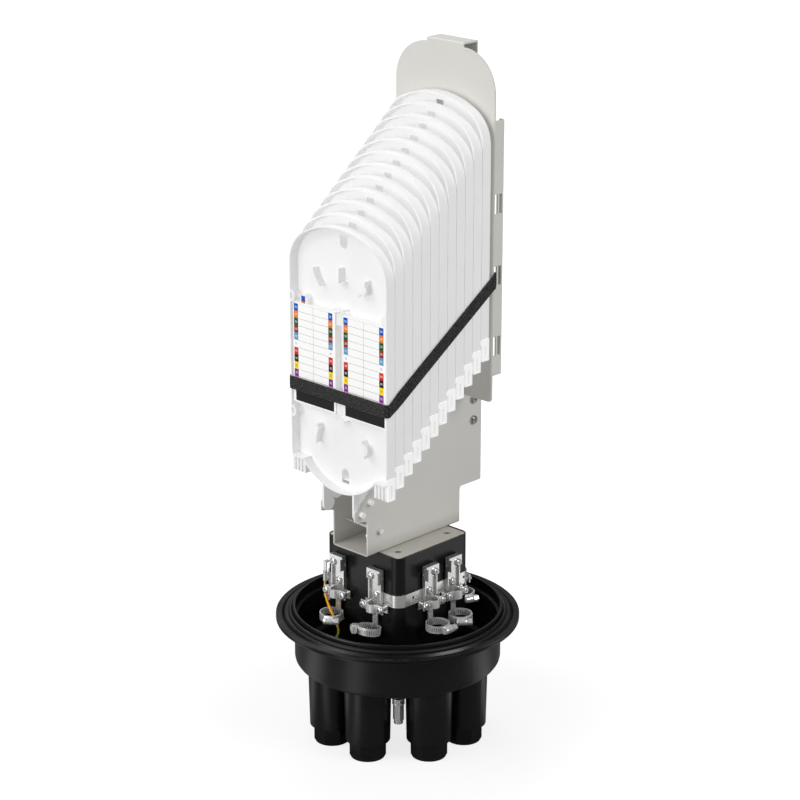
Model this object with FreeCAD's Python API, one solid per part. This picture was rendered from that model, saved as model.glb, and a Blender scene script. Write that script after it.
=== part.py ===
import FreeCAD, Part
import math
import os

# Dome splice closure with its dome lifted off: a black base with eight cable ports, a pedestal
# with cable anchors, a folded sheet frame and a stack of splice trays that tilt forward.
# Millimetres. Origin at the centre of the base, on the plane that the port ends stand on.
# +Z is up and the trays face -Y.

Vector = FreeCAD.Vector
UP = Vector(0, 0, 1)
ORIGIN = Vector(0, 0, 0)

# base moulding
flange_radius = 145.0
flange_top = 151.0
flange_thickness = 5.0
flange_land = 7.0
edge_groove = 0.9
collar_bore_radius = 122.0
collar_wall = 3.2
collar_height = 9.5
seal_radius = 2.6
seal_bed = 9.0
skirt_radius = 123.0
skirt_bottom = 91.0
skirt_round = 7.0
bowl_wall = 4.0
floor_thickness = 4.0

# cable ports, in pairs, one pair to each side of the pedestal
side_count = 4
port_circle_radius = 86.3
port_half_angle = 20.3
port_root_radius = 28.0
port_tip_radius = 26.6
port_wall = 3.0
port_shoulder = 22.0
cap_across_flats = 43.0
cap_sides = 8
cap_bevel = 3.0

# pedestal and the plate set into its rim
pedestal_half = 60.5
pedestal_corner = 12.0
pedestal_wall = 3.0
pedestal_top = 250.0
pedestal_foot_half = 55.5
pedestal_foot_height = 24.0
pedestal_step = 8.0
boss_radius = 6.5
boss_depth = 22.0
plate_gap = 0.4
plate_thickness = 2.5
plate_corner = 4.2
plate_screw_offset = 41.0

# folded channel
sheet = 2.0
channel_half = 28.4
channel_front = -78.0
channel_rear = 76.4
channel_rear_upper = 113.0
channel_bend = 3.0
nose_front = -98.0
nose_under = 298.5
nose_rise = 6.0
front_notch = 294.5
rear_step = 295.5
edge_above_pivots = 11.5
rod_place = (-59.5, 278.0)
rod_radius = 1.7
rod_end_radius = 2.9
rod_end_length = 5.0
channel_screw_place = (15.0, 34.0)

# trays
tray_count = 12
pitch_y = 14.0
pitch_z = 11.8
pivot_y = -89.0
pivot_z = 306.0
tray_half = 77.5
tray_height = 334.0
tray_foot = 47.0
tray_belly = 20.5
belly_radius = 78.0
top_radius = 112.0
shoulder_radius = 45.0
foot_radius = 6.0
tray_front = -7.5
tray_depth = 13.0
tray_wall = 1.8
comb_inner = 56.0
comb_drop = 17.0
comb_rise = 9.0
comb_proud = 0.8
tray_floor = 1.6
arm_thickness = 3.0
arm_radius = 8.5
arm_gap = 0.3
pin_radius = 3.3
pin_clearance = 0.3
pin_stick_out = 5.0
fin_height = 9.0
fin_thickness = 1.6
upper_guide_level = 291.0
upper_guide_radius = 43.0
lower_guide_level = 73.0
lower_guide_radius = 39.0
guide_tab_radius = 6.5
window_half = 5.8
window_low = 21.0
window_high = 20.0
window_height = 9.0
bed_inner = 6.5
bed_outer = 73.0
bed_low = 114.0
bed_high = 234.0
bed_height = 8.2

# label cards on the front tray
card_thickness = 0.6
card_inner = 6.0
card_outer = 74.5
card_low = 115.0
card_high = 234.6

# back plate: one folded sheet with side walls, lips, hook and fixing tabs
back_plate_front = 76.5
back_plate_half = 77.0
back_plate_bottom = 412.0
back_plate_top = 826.0
back_plate_corner = 48.0
back_plate_foot_corner = 5.0
basket_depth = 17.5
basket_bottom = 444.0
basket_top = 744.0
basket_lip = 7.0
slot_width = 4.6
slot_height = 23.0
slot_level = 563.5
slot_pitch = 84.25
slot_offset = 4.6
slot_step = 7.2
hook_half = 28.0
hook_depth = 25.0
hook_drop = 15.0
hook_rise = 5.0
tab_bottom = 356.0
tab_depth = 33.0
frame_screw_level = 387.0
frame_screw_pitch = 26.0
frame_screw_y = 99.0

# strap
strap_width = 15.5
strap_thickness = 1.4
strap_clearance = 0.9
strap_front_level = 444.0

# cable anchors
strip_thickness = 1.5
strip_low = 189.0
strip_high = 204.0
anchor_sheet = 1.5
anchor_shares = ((-0.562, -1), (0.4545, -1), (-0.195, 1), (0.4463, 1),
                 (-0.562, -1), (0.4545, -1), (-0.195, 1), (0.4463, 1))
bracket_half = 10.4
bracket_flange = 3.0
bracket_low = 180.0
profile_low = 190.5
profile_high = 219.0
bracket_high = 232.0
wing_half = 18.0
tongue_half = 4.0
tongue_low = 149.0
tongue_jog = 2.2
lug_stand_off = 4.0
lug_low = 219.3
lug_shift = 3.5
yoke_level = 185.5
yoke_height = 10.0
yoke_stand_off = 6.5
yoke_half = 17.5
yoke_screw_offset = 13.5
saddle_radius = 7.5
screw_head_radius = 4.7
screw_head_height = 3.0
screw_shank_radius = 2.4
inner_screw_level = 199.0
lug_screw_level = 223.5

# hose clamps
band_bore = 13.2
band_thickness = 0.8
band_height = 9.0
band_level = 158.5
clamp_tips = (0.0, 10.0, 0.0, 0.0, 0.0, 0.0, 0.0, 0.0)
housing_angles = (35.0, -45.0, 0.0, -40.0, -112.0, 30.0, 0.0, -35.0)
housing_length = 12.5
housing_radius = 4.4
worm_radius = 2.7
worm_clearance = 0.3
worm_head_flats = 7.0
worm_head_length = 5.5
worm_slot = 1.0

# earth stud and the wire that joins it to the first anchor
stud_circle_radius = 90.0
stud_angle = -45.0
stud_radius = 4.0
stud_low = 49.5
stud_high = 112.0
stud_boss_radius = 9.0
stud_boss_low = 80.0
washer_radius = 8.0
washer_thickness = 1.5
nut_flats = 13.0
nut_height = 6.5
sleeve_flats = 11.5
stud_collar_height = 3.0
terminal_thickness = 1.4
terminal_reach = 11.0
wire_arrival = -102.0
wire_radius = 1.5
wire_bend = 14.0


# general shapes

def block(low, high):
    size = [b - a for a, b in zip(low, high)]
    return Part.makeBox(size[0], size[1], size[2], Vector(*low))


def rod(radius, length, start, direction=UP):
    return Part.makeCylinder(radius, length, Vector(*start), Vector(*direction))


def closed_face(edges):
    return Part.Face(Part.Wire(edges))


def polygon_face(points):
    corners = [Vector(*p) for p in points]
    return Part.Face(Part.makePolygon(corners + [corners[0]]))


def prism(points, travel):
    return polygon_face(points).extrude(Vector(*travel))


def turned(profile, centre=(0, 0, 0)):
    """Solid turned about the upright line through centre, from (radius, height) points."""
    shape = polygon_face([(r, 0, z) for r, z in profile]).revolve(ORIGIN, UP, 360)
    shape.translate(Vector(*centre))
    return shape


def regular_prism(sides, across_flats, low, high):
    radius = across_flats / 2 / math.cos(math.pi / sides)
    turn = math.pi / sides
    corners = [(radius * math.cos(turn + 2 * math.pi * i / sides),
                radius * math.sin(turn + 2 * math.pi * i / sides), low) for i in range(sides)]
    return prism(corners, (0, 0, high - low))


def rounded_square(half, corner, low, high):
    shape = block((-half, -half, low), (half, half, high))
    upright = [e for e in shape.Edges if abs(e.BoundBox.ZLength - (high - low)) < 1e-6]
    return shape.makeFillet(corner, upright)


def moved(shape, x=0.0, y=0.0, z=0.0):
    result = shape.copy()
    result.translate(Vector(x, y, z))
    return result


def swung(shape, degrees, centre=(0, 0, 0), axis=UP):
    result = shape.copy()
    result.rotate(Vector(*centre), Vector(*axis), degrees)
    return result


def joined(shapes):
    return shapes[0].fuse(list(shapes[1:])).removeSplitter()


def both_sides(shape):
    return [shape, shape.mirror(ORIGIN, Vector(1, 0, 0))]


def pan_screw(length):
    """Pan-head screw along +Z, its head seat at the origin and its shank below it."""
    rim = screw_head_radius
    top = screw_head_height
    profile = [(0, -length), (screw_shank_radius, -length), (screw_shank_radius, 0), (rim, 0),
               (rim, top * 0.55), (rim * 0.72, top), (0, top)]
    return turned(profile)


def countersunk_screw(length):
    """Countersunk screw along +Z with the flat of its head at the origin."""
    rim = screw_head_radius
    profile = [(0, -length), (screw_shank_radius, -length), (screw_shank_radius, screw_shank_radius - rim),
               (rim, 0), (0, 0)]
    return turned(profile)


def laid(shape, direction):
    """Turns a +Z shape so that it points along direction."""
    result = shape.copy()
    result.Placement = FreeCAD.Placement(ORIGIN, FreeCAD.Rotation(UP, Vector(*direction)))
    return result


def rounded_path(points, bend):
    """Straight runs through the points, with a tangent arc at each corner."""
    corners = [Vector(*p) for p in points]
    edges = []
    start = corners[0]
    for before, corner, after in zip(corners, corners[1:], corners[2:]):
        back = (before - corner).normalize()
        ahead = (after - corner).normalize()
        half = back.getAngle(ahead) / 2
        reach = min(bend / math.tan(half), (before - corner).Length * 0.48, (after - corner).Length * 0.48)
        radius = reach * math.tan(half)
        first = corner + back * reach
        last = corner + ahead * reach
        middle_line = (back + ahead).normalize()
        middle = corner + middle_line * (radius / math.sin(half) - radius)
        if (first - start).Length > 1e-6:
            edges.append(Part.makeLine(start, first))
        edges.append(Part.Arc(first, middle, last).toShape())
        start = last
    edges.append(Part.makeLine(start, corners[-1]))
    return Part.Wire(edges)


# base moulding with its ports

floor_top = skirt_bottom + floor_thickness
flange_under = flange_top - flange_thickness
collar_top = flange_top + collar_height
collar_radius = collar_bore_radius + collar_wall
seal_circle_radius = collar_radius + seal_radius


def port_centres():
    places = []
    for side in range(side_count):
        for sign in (-1, 1):
            angle = math.radians(-90 + 360 / side_count * side + sign * port_half_angle)
            places.append((port_circle_radius * math.cos(angle), port_circle_radius * math.sin(angle)))
    return places


def port_tube():
    tube = Part.makeCone(port_tip_radius, port_root_radius, skirt_bottom - port_shoulder,
                         Vector(0, 0, port_shoulder))
    cap = regular_prism(cap_sides, cap_across_flats, 0, port_shoulder + 1)
    corner = cap_across_flats / 2 / math.cos(math.pi / cap_sides) + 0.1
    cone = turned([(0, 0), (corner - cap_bevel, 0), (corner, cap_bevel * 2), (corner, port_shoulder + 1),
                   (0, port_shoulder + 1)])
    return joined([tube, cap.common(cone)]).cut(port_inside())


def port_inside():
    bore_low = port_shoulder + port_wall
    bore = Part.makeCone(port_tip_radius - port_wall, port_root_radius - port_wall,
                         floor_top + 1 - bore_low, Vector(0, 0, bore_low))
    nose = rod(cap_across_flats / 2 - port_wall, bore_low - port_wall + 1, (0, 0, port_wall))
    return joined([bore, nose])


def bowl_profile():
    profile = [(0, skirt_bottom), (skirt_radius - skirt_round, skirt_bottom)]
    for step in range(1, 5):
        angle = math.radians(90 * step / 4)
        profile.append((skirt_radius - skirt_round + skirt_round * math.sin(angle),
                        skirt_bottom + skirt_round - skirt_round * math.cos(angle)))
    inside = skirt_radius - bowl_wall
    return profile + [(skirt_radius, flange_under), (inside, flange_under), (inside, floor_top + 4),
                      (inside - 4, floor_top), (0, floor_top)]


def port_sector(first, second, low, high):
    """Wedge between two port centres, from the middle outward."""
    reach = 3 * skirt_radius
    corners = [Vector(0, 0, low)]
    for x, y in (first, second):
        length = math.hypot(x, y)
        corners.append(Vector(x / length * reach, y / length * reach, low))
    corners.append(corners[0])
    return Part.Face(Part.makePolygon(corners)).extrude(Vector(0, 0, high - low))


def make_base_bowl():
    """Floor and skirt of the base, open above each port.

    Floor and skirt are kept as a sector for each gap between two ports, which meet on flat faces.
    """
    stud_x, stud_y = stud_place()
    whole = turned(bowl_profile())
    skirt_inside = skirt_radius - skirt_round
    core = rod(skirt_inside, floor_top - skirt_bottom + 2, (0, 0, skirt_bottom - 1))
    boss = rod(stud_boss_radius, skirt_bottom - stud_boss_low + 1, (stud_x, stud_y, stud_boss_low))
    floor = joined([whole.common(core), boss])
    for x, y in port_centres():
        floor = floor.cut(moved(port_inside(), x, y))
        whole = whole.cut(moved(port_inside(), x, y))
    floor = floor.cut(rod(stud_radius, 60, (stud_x, stud_y, stud_boss_low - 5)))
    skirt = whole.cut(core)
    centres = port_centres()
    pieces = []
    for number, centre in enumerate(centres):
        sector = port_sector(centre, centres[(number + 1) % len(centres)], stud_boss_low - 5, flange_under + 1)
        pieces += [floor.common(sector), skirt.common(sector)]
    return Part.Compound(pieces)


def make_base_flange():
    """Rim of the base: grooved flange, bed for the seal and the upright collar."""
    land = flange_radius - flange_land
    seal_edge = collar_radius + 2 * seal_radius
    groove_low = flange_under + flange_thickness * 0.42
    groove_high = flange_under + flange_thickness * 0.6
    return turned([(skirt_radius - bowl_wall, flange_under), (flange_radius, flange_under),
                   (flange_radius, groove_low), (flange_radius - edge_groove, groove_low),
                   (flange_radius - edge_groove, groove_high), (flange_radius, groove_high),
                   (flange_radius, flange_top), (land, flange_top), (land - 1.2, flange_top - 1.6),
                   (land - 2.4, flange_top), (collar_radius + seal_bed, flange_top + 2.0),
                   (seal_edge, flange_top + 2.0), (seal_edge, flange_top), (collar_radius, flange_top),
                   (collar_radius, collar_top - 1), (collar_radius - 1, collar_top),
                   (collar_bore_radius, collar_top), (collar_bore_radius, flange_top - 3)])


def make_cable_ports():
    """Eight blanked cable ports, each ending flat under the floor of the bowl."""
    tube = port_tube()
    return Part.Compound([moved(tube, x, y) for x, y in port_centres()])


def make_flange_seal():
    ring = Part.makeTorus(seal_circle_radius, seal_radius, Vector(0, 0, flange_top + seal_radius))
    return ring


# pedestal

plate_half = pedestal_half - pedestal_wall - plate_gap
plate_top = pedestal_top
plate_under = plate_top - plate_thickness


def screw_corners(offset_x, offset_y):
    return [(sx * offset_x, sy * offset_y) for sx in (-1, 1) for sy in (-1, 1)]


def make_pedestal():
    step_low = floor_top + pedestal_foot_height
    outer = joined([rounded_square(pedestal_half, pedestal_corner, step_low + pedestal_step, pedestal_top),
                    rounded_square(pedestal_foot_half, pedestal_corner - 4, floor_top, step_low + pedestal_step),
                    tapered_square(pedestal_foot_half, pedestal_half, step_low, step_low + pedestal_step)])
    inner_half = pedestal_half - pedestal_wall
    pocket = rounded_square(inner_half, plate_corner + plate_gap, plate_under, pedestal_top + 1)
    room = rounded_square(inner_half - 2, pedestal_corner - pedestal_wall, step_low + pedestal_step, pedestal_top)
    shaft = rounded_square(pedestal_foot_half - pedestal_wall, 5, floor_top - 1, pedestal_top)
    body = outer.cut(joined([pocket, room, shaft]))
    bosses = [rod(boss_radius, boss_depth, (x, y, plate_under - boss_depth))
              for x, y in screw_corners(plate_screw_offset, plate_screw_offset)]
    ribs = []
    for x, y in screw_corners(plate_screw_offset, plate_screw_offset):
        ribs.append(block((min(x, x * 1.42), y - 1.5, plate_under - boss_depth),
                          (max(x, x * 1.42), y + 1.5, plate_under)))
    body = joined([body] + bosses + ribs)
    holes = [rod(screw_shank_radius, boss_depth - 4, (x, y, plate_under - boss_depth + 5))
             for x, y in screw_corners(plate_screw_offset, plate_screw_offset)]
    holes += [at_anchor(rod(screw_shank_radius, 20, (0, face_y + 12, inner_screw_level), (0, -1, 0)), number)
              for number in range(len(anchor_places))]
    return body.cut(Part.Compound(holes))


def tapered_square(low_half, high_half, low, high):
    lower = Part.makePolygon([Vector(x * low_half, y * low_half, low)
                              for x, y in ((-1, -1), (1, -1), (1, 1), (-1, 1), (-1, -1))])
    upper = Part.makePolygon([Vector(x * high_half, y * high_half, high)
                              for x, y in ((-1, -1), (1, -1), (1, 1), (-1, 1), (-1, -1))])
    loft = Part.makeLoft([lower, upper], True, True)
    return loft.common(rounded_square(high_half, pedestal_corner, low, high))


def make_pedestal_plate():
    plate = rounded_square(plate_half, plate_corner, plate_under, plate_top)
    sink = countersunk_screw(plate_thickness + 2)
    for x, y in screw_corners(plate_screw_offset, plate_screw_offset):
        plate = plate.cut(moved(sink, x, y, plate_top))
    for x, y in screw_corners(*channel_screw_place):
        plate = plate.cut(rod(screw_shank_radius, 10, (x, y, plate_under - 2)))
    return plate


def make_plate_screws():
    screw = countersunk_screw(plate_thickness + boss_depth - 6)
    return Part.Compound([moved(screw, x, y, plate_top)
                          for x, y in screw_corners(plate_screw_offset, plate_screw_offset)])


# frame channel

channel_bottom = plate_top
channel_inner = channel_half - sheet


def pivot_places():
    return [(pivot_y + pitch_y * i, pivot_z + pitch_z * i) for i in range(tray_count)]


def wall_outline():
    slope = pitch_z / pitch_y
    crest_y = back_plate_front - 1.0

    def edge_height(y):
        return pivot_z + slope * (y - pivot_y) + edge_above_pivots

    return [(channel_front, channel_bottom), (channel_front, front_notch), (channel_front - 2, front_notch),
            (nose_front, nose_under), (nose_front, edge_height(nose_front)), (crest_y, edge_height(crest_y)),
            (crest_y, back_plate_bottom - 0.5), (channel_rear_upper, back_plate_bottom - 0.5),
            (channel_rear_upper, rear_step), (channel_rear + 2, rear_step), (channel_rear, rear_step - 4),
            (channel_rear, channel_bottom)]


def make_frame_channel():
    outline = [(channel_inner, y, z) for y, z in wall_outline()]
    wall = prism(outline, (sheet, 0, 0))
    floor = block((-channel_half, channel_front, channel_bottom), (channel_half, channel_rear, channel_bottom + sheet))
    channel = joined(both_sides(wall) + [floor])
    bends = [e for e in channel.Edges
             if e.BoundBox.YLength > 100 and e.BoundBox.ZMax < channel_bottom + 0.01
             and abs(abs(e.BoundBox.XMin) - channel_half) < 0.01]
    channel = channel.makeFillet(channel_bend, bends)
    holes = [rod(pin_radius + pin_clearance, 2 * channel_half + 10, (-channel_half - 5, y, z), (1, 0, 0))
             for y, z in pivot_places()]
    holes.append(rod(rod_radius, 2 * channel_half + 10, (-channel_half - 5,) + rod_place, (1, 0, 0)))
    holes += [rod(screw_shank_radius, 2 * channel_half + 10, (-channel_half - 5, frame_screw_y, z), (1, 0, 0))
              for z in frame_screw_heights()]
    holes += [rod(screw_shank_radius, 10, (x, y, channel_bottom - 2)) for x, y in screw_corners(*channel_screw_place)]
    return channel.cut(Part.Compound(holes))


def make_channel_screws():
    screw = pan_screw(sheet + plate_thickness + 3)
    return Part.Compound([moved(screw, x, y, channel_bottom + sheet) for x, y in screw_corners(*channel_screw_place)])


def make_cross_rod():
    reach = channel_half
    bar = rod(rod_radius, 2 * reach, (-reach, 0, 0), (1, 0, 0))
    heads = [rod(rod_end_radius, rod_end_length, (reach, 0, 0), (1, 0, 0)),
             rod(rod_end_radius, rod_end_length, (-reach - rod_end_length, 0, 0), (1, 0, 0))]
    return moved(joined([bar] + heads), 0, *rod_place)


# back plate

def frame_screw_heights():
    return frame_screw_level + frame_screw_pitch / 2, frame_screw_level - frame_screw_pitch / 2


def make_back_plate():
    front = back_plate_front
    rear = front + sheet
    half = back_plate_half
    shoulder = back_plate_top - hook_rise
    panel = block((-half, front, back_plate_bottom), (half, rear, shoulder))
    corners = [e for e in panel.Edges if abs(e.BoundBox.YLength - sheet) < 1e-6]
    panel = panel.makeFillet(back_plate_corner, [e for e in corners if e.BoundBox.ZMin > shoulder - 1])
    corners = [e for e in panel.Edges if abs(e.BoundBox.YLength - sheet) < 1e-6
               and e.BoundBox.ZMax < back_plate_bottom + 1 and e.BoundBox.ZLength < 1e-6]
    panel = panel.makeFillet(back_plate_foot_corner, corners)
    basket_rear = front + basket_depth
    wall = block((half - sheet, front, basket_bottom), (half, basket_rear, basket_top))
    lip = block((half - basket_lip, basket_rear - sheet, basket_bottom), (half, basket_rear, basket_top))
    side = joined([wall, lip])
    folds = [e for e in side.Edges if e.BoundBox.ZLength > 100 and abs(e.BoundBox.XMin - half) < 1e-6
             and e.BoundBox.YMin > front + 1]
    side = side.makeFillet(sheet * 0.9, folds)
    slots = []
    for level in (slot_level - slot_pitch, slot_level, slot_level + slot_pitch):
        for offset in (slot_offset, slot_offset + slot_step):
            y = front + offset - slot_width / 2
            slots.append(block((half - sheet - 1, y, level - slot_height / 2),
                               (half + 1, y + slot_width, level + slot_height / 2)))
    side = side.cut(Part.Compound(slots))
    hook_rear = front + hook_depth
    arm = block((-hook_half, front, back_plate_top - sheet), (hook_half, hook_rear, back_plate_top))
    drop = block((-hook_half, hook_rear - sheet, back_plate_top - hook_drop), (hook_half, hook_rear, back_plate_top))
    riser = block((-hook_half, front, shoulder - 6), (hook_half, rear, back_plate_top))
    hook = joined([riser, arm, drop])
    folds = [e for e in hook.Edges if e.BoundBox.XLength > 2 * hook_half - 1 and e.BoundBox.ZMin > back_plate_top - 0.01]
    hook = hook.makeFillet(sheet * 0.9, folds)
    tongue = block((-channel_inner, front, tab_bottom), (channel_inner, rear, back_plate_bottom + 1))
    tab = block((channel_inner - sheet, front, tab_bottom), (channel_inner, front + tab_depth, back_plate_bottom - 0.5))
    plate = joined([panel] + both_sides(side))
    plate = joined([cut_fold(plate, half), hook, tongue] + both_sides(tab))
    holes = [rod(screw_shank_radius, 2 * half, (-half, frame_screw_y, z), (1, 0, 0)) for z in frame_screw_heights()]
    return plate.cut(Part.Compound(holes))


def cut_fold(panel, half):
    """Takes the sharp front corner off the panel where its side walls fold back."""
    radius = sheet + 0.4
    for sign in (-1, 1):
        x = sign * half
        strip = block((min(x, x - sign * radius), back_plate_front, basket_bottom),
                      (max(x, x - sign * radius), back_plate_front + radius, basket_top))
        round_part = rod(radius, basket_top - basket_bottom,
                         (x - sign * radius, back_plate_front + radius, basket_bottom))
        panel = panel.cut(strip.cut(round_part))
    return panel


def make_frame_screws():
    screw = pan_screw(2 * sheet + 3)
    right = laid(screw, (1, 0, 0))
    screws = []
    for level in frame_screw_heights():
        screws += both_sides(moved(right, channel_half, frame_screw_y, level))
    return Part.Compound(screws)


# trays, modelled with the pivot line at the origin

def tray_outline(inset, y):
    half = tray_half - inset
    crown = top_radius - inset
    shoulder = shoulder_radius - inset
    crown_z = tray_height - top_radius
    shoulder_x = tray_half - shoulder_radius
    shoulder_z = crown_z + math.sqrt((top_radius - shoulder_radius) ** 2 - shoulder_x ** 2)
    lean = math.atan2(shoulder_x, shoulder_z - crown_z)
    foot = tray_foot + inset
    belly = belly_radius - inset
    belly_z = tray_belly + belly_radius
    belly_x = math.sqrt(belly ** 2 - (belly_z - foot) ** 2)
    corner = foot_radius - inset

    def place(x, z):
        return Vector(x, y, z)

    def crown_point(angle):
        return place(crown * math.sin(angle), crown_z + crown * math.cos(angle))

    def shoulder_point(sign, angle):
        return place(sign * (shoulder_x + shoulder * math.sin(angle)), shoulder_z + shoulder * math.cos(angle))

    def foot_point(sign, angle):
        return place(sign * (half - corner + corner * math.sin(angle)), foot + corner - corner * math.cos(angle))

    middle = (lean + math.pi / 2) / 2
    return [Part.Arc(crown_point(-lean), crown_point(0), crown_point(lean)).toShape(),
            Part.Arc(shoulder_point(1, lean), shoulder_point(1, middle), shoulder_point(1, math.pi / 2)).toShape(),
            Part.makeLine(shoulder_point(1, math.pi / 2), foot_point(1, math.pi / 2)),
            Part.Arc(foot_point(1, math.pi / 2), foot_point(1, math.pi / 4), foot_point(1, 0)).toShape(),
            Part.makeLine(foot_point(1, 0), place(belly_x, foot)),
            Part.Arc(place(belly_x, foot), place(0, belly_z - belly), place(-belly_x, foot)).toShape(),
            Part.makeLine(place(-belly_x, foot), foot_point(-1, 0)),
            Part.Arc(foot_point(-1, 0), foot_point(-1, math.pi / 4), foot_point(-1, math.pi / 2)).toShape(),
            Part.makeLine(foot_point(-1, math.pi / 2), shoulder_point(-1, math.pi / 2)),
            Part.Arc(shoulder_point(-1, math.pi / 2), shoulder_point(-1, middle), shoulder_point(-1, lean)).toShape()]


tray_rear = tray_front + tray_depth
floor_face = tray_rear - tray_floor


def curved_fin(centre_z, radius, low_angle, high_angle):
    """Fibre guide: a thin upright wall that follows a circle, between two angles from +Z."""
    outer = radius + fin_thickness / 2
    inner = radius - fin_thickness / 2

    def place(r, degrees):
        angle = math.radians(degrees)
        return Vector(r * math.sin(angle), floor_face, centre_z + r * math.cos(angle))

    middle = (low_angle + high_angle) / 2
    edges = [Part.Arc(place(outer, low_angle), place(outer, middle), place(outer, high_angle)).toShape(),
             Part.makeLine(place(outer, high_angle), place(inner, high_angle)),
             Part.Arc(place(inner, high_angle), place(inner, middle), place(inner, low_angle)).toShape(),
             Part.makeLine(place(inner, low_angle), place(outer, low_angle))]
    return closed_face(edges).extrude(Vector(0, -fin_height, 0))


def comb():
    """Cable entry comb under the right-hand foot of the tray, with a slotted cheek up its side."""
    low = tray_foot - comb_drop
    front = tray_front + 1.5
    teeth = block((comb_inner, front, low), (tray_half, tray_rear, tray_foot + 2))
    cheek = block((tray_half - 1.2, front, low), (tray_half + comb_proud, tray_rear, tray_foot + comb_rise))
    gaps = [block((x, tray_front, low - 1), (x + 2.4, tray_rear + 1, tray_foot - 1))
            for x in (comb_inner + 3.5, comb_inner + 9, comb_inner + 14.5)]
    slot = block((tray_half - 3, front + 4.5, low + 1.5), (tray_half + comb_proud + 1, front + 8, tray_foot + 1))
    return joined([teeth, cheek]).cut(Part.Compound(gaps + [slot]))


def hinge_arm():
    """Right-hand arm with its pin, from the belly of the tray down to the pivot line."""
    outer = channel_inner - arm_gap
    inner = outer - arm_thickness
    belly_z = tray_belly + belly_radius
    top = belly_z - math.sqrt(belly_radius ** 2 - outer ** 2) + 1.0
    disc = rod(arm_radius, arm_thickness, (inner, 0, 0), (1, 0, 0))
    neck = block((inner, -arm_radius, 0), (outer, tray_rear, top))
    pin = rod(pin_radius, channel_half + pin_stick_out - inner, (inner, 0, 0), (1, 0, 0))
    return joined([disc, neck, pin])


def u_slot(centre_z, height, sign):
    """Slot through the tray floor with one round end."""
    end = rod(window_half, tray_floor * 4, (0, tray_rear - tray_floor * 2, centre_z), (0, 1, 0))
    low, high = sorted((centre_z, centre_z + sign * height))
    run = block((-window_half, tray_rear - tray_floor * 2, low), (window_half, tray_rear + tray_floor * 2, high))
    return joined([end, run])


def retaining_tab(centre_z, radius, degrees):
    """Half-round tab along the front edge of a fibre guide, on its outer side."""
    angle = math.radians(degrees)
    front = floor_face - fin_height
    disc = rod(guide_tab_radius, fin_thickness,
               (radius * math.sin(angle), front, centre_z + radius * math.cos(angle)), (0, 1, 0))
    return disc.cut(rod(radius - fin_thickness / 2, fin_thickness + 2, (0, front - 1, centre_z), (0, 1, 0)))


def end_post(level, sign):
    """Round-ended post that closes the gap between the two card beds at one end."""
    front = floor_face - bed_height + 0.4
    half = bed_inner - 2.0
    end = rod(half, floor_face + 0.5 - front, (0, front, level), (0, 1, 0))
    low, high = sorted((level, level - sign * 9.0))
    return joined([end, block((-half, front, low), (half, floor_face + 0.5, high))])


def edge_lug(level, eye):
    """Round lug inside the left-hand rim of the tray; an eye makes it a ring."""
    disc = rod(7.0, 1.6, (tray_wall - tray_half, tray_front, level), (0, 1, 0))
    disc = disc.common(block((0.4 - tray_half, tray_front - 1, level - 8), (9 - tray_half, tray_front + 3, level + 8)))
    return disc.cut(rod(eye, 4, (tray_wall - tray_half, tray_front - 1, level), (0, 1, 0))) if eye else disc


def make_tray():
    body = closed_face(tray_outline(0, tray_front)).extrude(Vector(0, tray_depth, 0))
    room = closed_face(tray_outline(tray_wall, tray_front - 1)).extrude(Vector(0, tray_depth - tray_floor + 1, 0))
    tray = body.cut(room)
    bed = block((bed_inner, floor_face - bed_height, bed_low), (bed_outer, floor_face + 0.5, bed_high))
    upper = curved_fin(upper_guide_level, upper_guide_radius, 105, 135)
    lower = curved_fin(lower_guide_level, lower_guide_radius, 62, 92)
    front = floor_face - fin_height
    tab_high = block((-8, front, bed_high + 4), (8, floor_face + 0.5, bed_high + 5.4))
    tab_low = block((-8, front, bed_low - 7), (8, floor_face + 0.5, bed_low - 5.6))
    post = block((-1, front, bed_high + 36), (0.6, floor_face + 0.5, bed_high + 53))
    shelf = block((-8, floor_face - fin_height * 0.8, bed_high + 35), (5, floor_face + 0.5, bed_high + 36.6))
    label_lug = rod(6.5, 1.6, (16 - bed_outer, floor_face - bed_height, bed_high + 5), (0, 1, 0))
    peg = rod(2.6, fin_height + 0.5, (-lower_guide_radius + 1.5, front, lower_guide_level + 20), (0, 1, 0))
    lugs = [edge_lug(bed_high + 7, 3.6), edge_lug(bed_low - 11, 3.6)]
    lugs += [edge_lug(level, 0).mirror(ORIGIN, Vector(1, 0, 0)) for level in (bed_high + 7, bed_low - 11)]
    tabs = [retaining_tab(upper_guide_level, upper_guide_radius, 120), retaining_tab(lower_guide_level, lower_guide_radius, 77)]
    posts = [end_post(bed_high - bed_inner + 2, 1), end_post(bed_low + bed_inner - 2, -1)]
    pieces = [tray, tab_high, tab_low, post, shelf, label_lug, peg] + lugs + tabs + posts
    for piece in (bed, upper, lower, comb(), hinge_arm()):
        pieces += both_sides(piece)
    tray = joined(pieces)
    cuts = [u_slot(tray_belly + window_low, window_height + 3, -1), u_slot(tray_height - window_high, window_height, 1)]
    return tray.cut(Part.Compound(cuts))


def make_card(sign):
    face = floor_face - bed_height
    low_x, high_x = sorted((sign * card_inner, sign * card_outer))
    card = block((low_x, face - card_thickness, card_low), (high_x, face, card_high))
    return moved(card, 0, pivot_y, pivot_z)


# strap: a flat loop round the trays that passes behind the back plate

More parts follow.
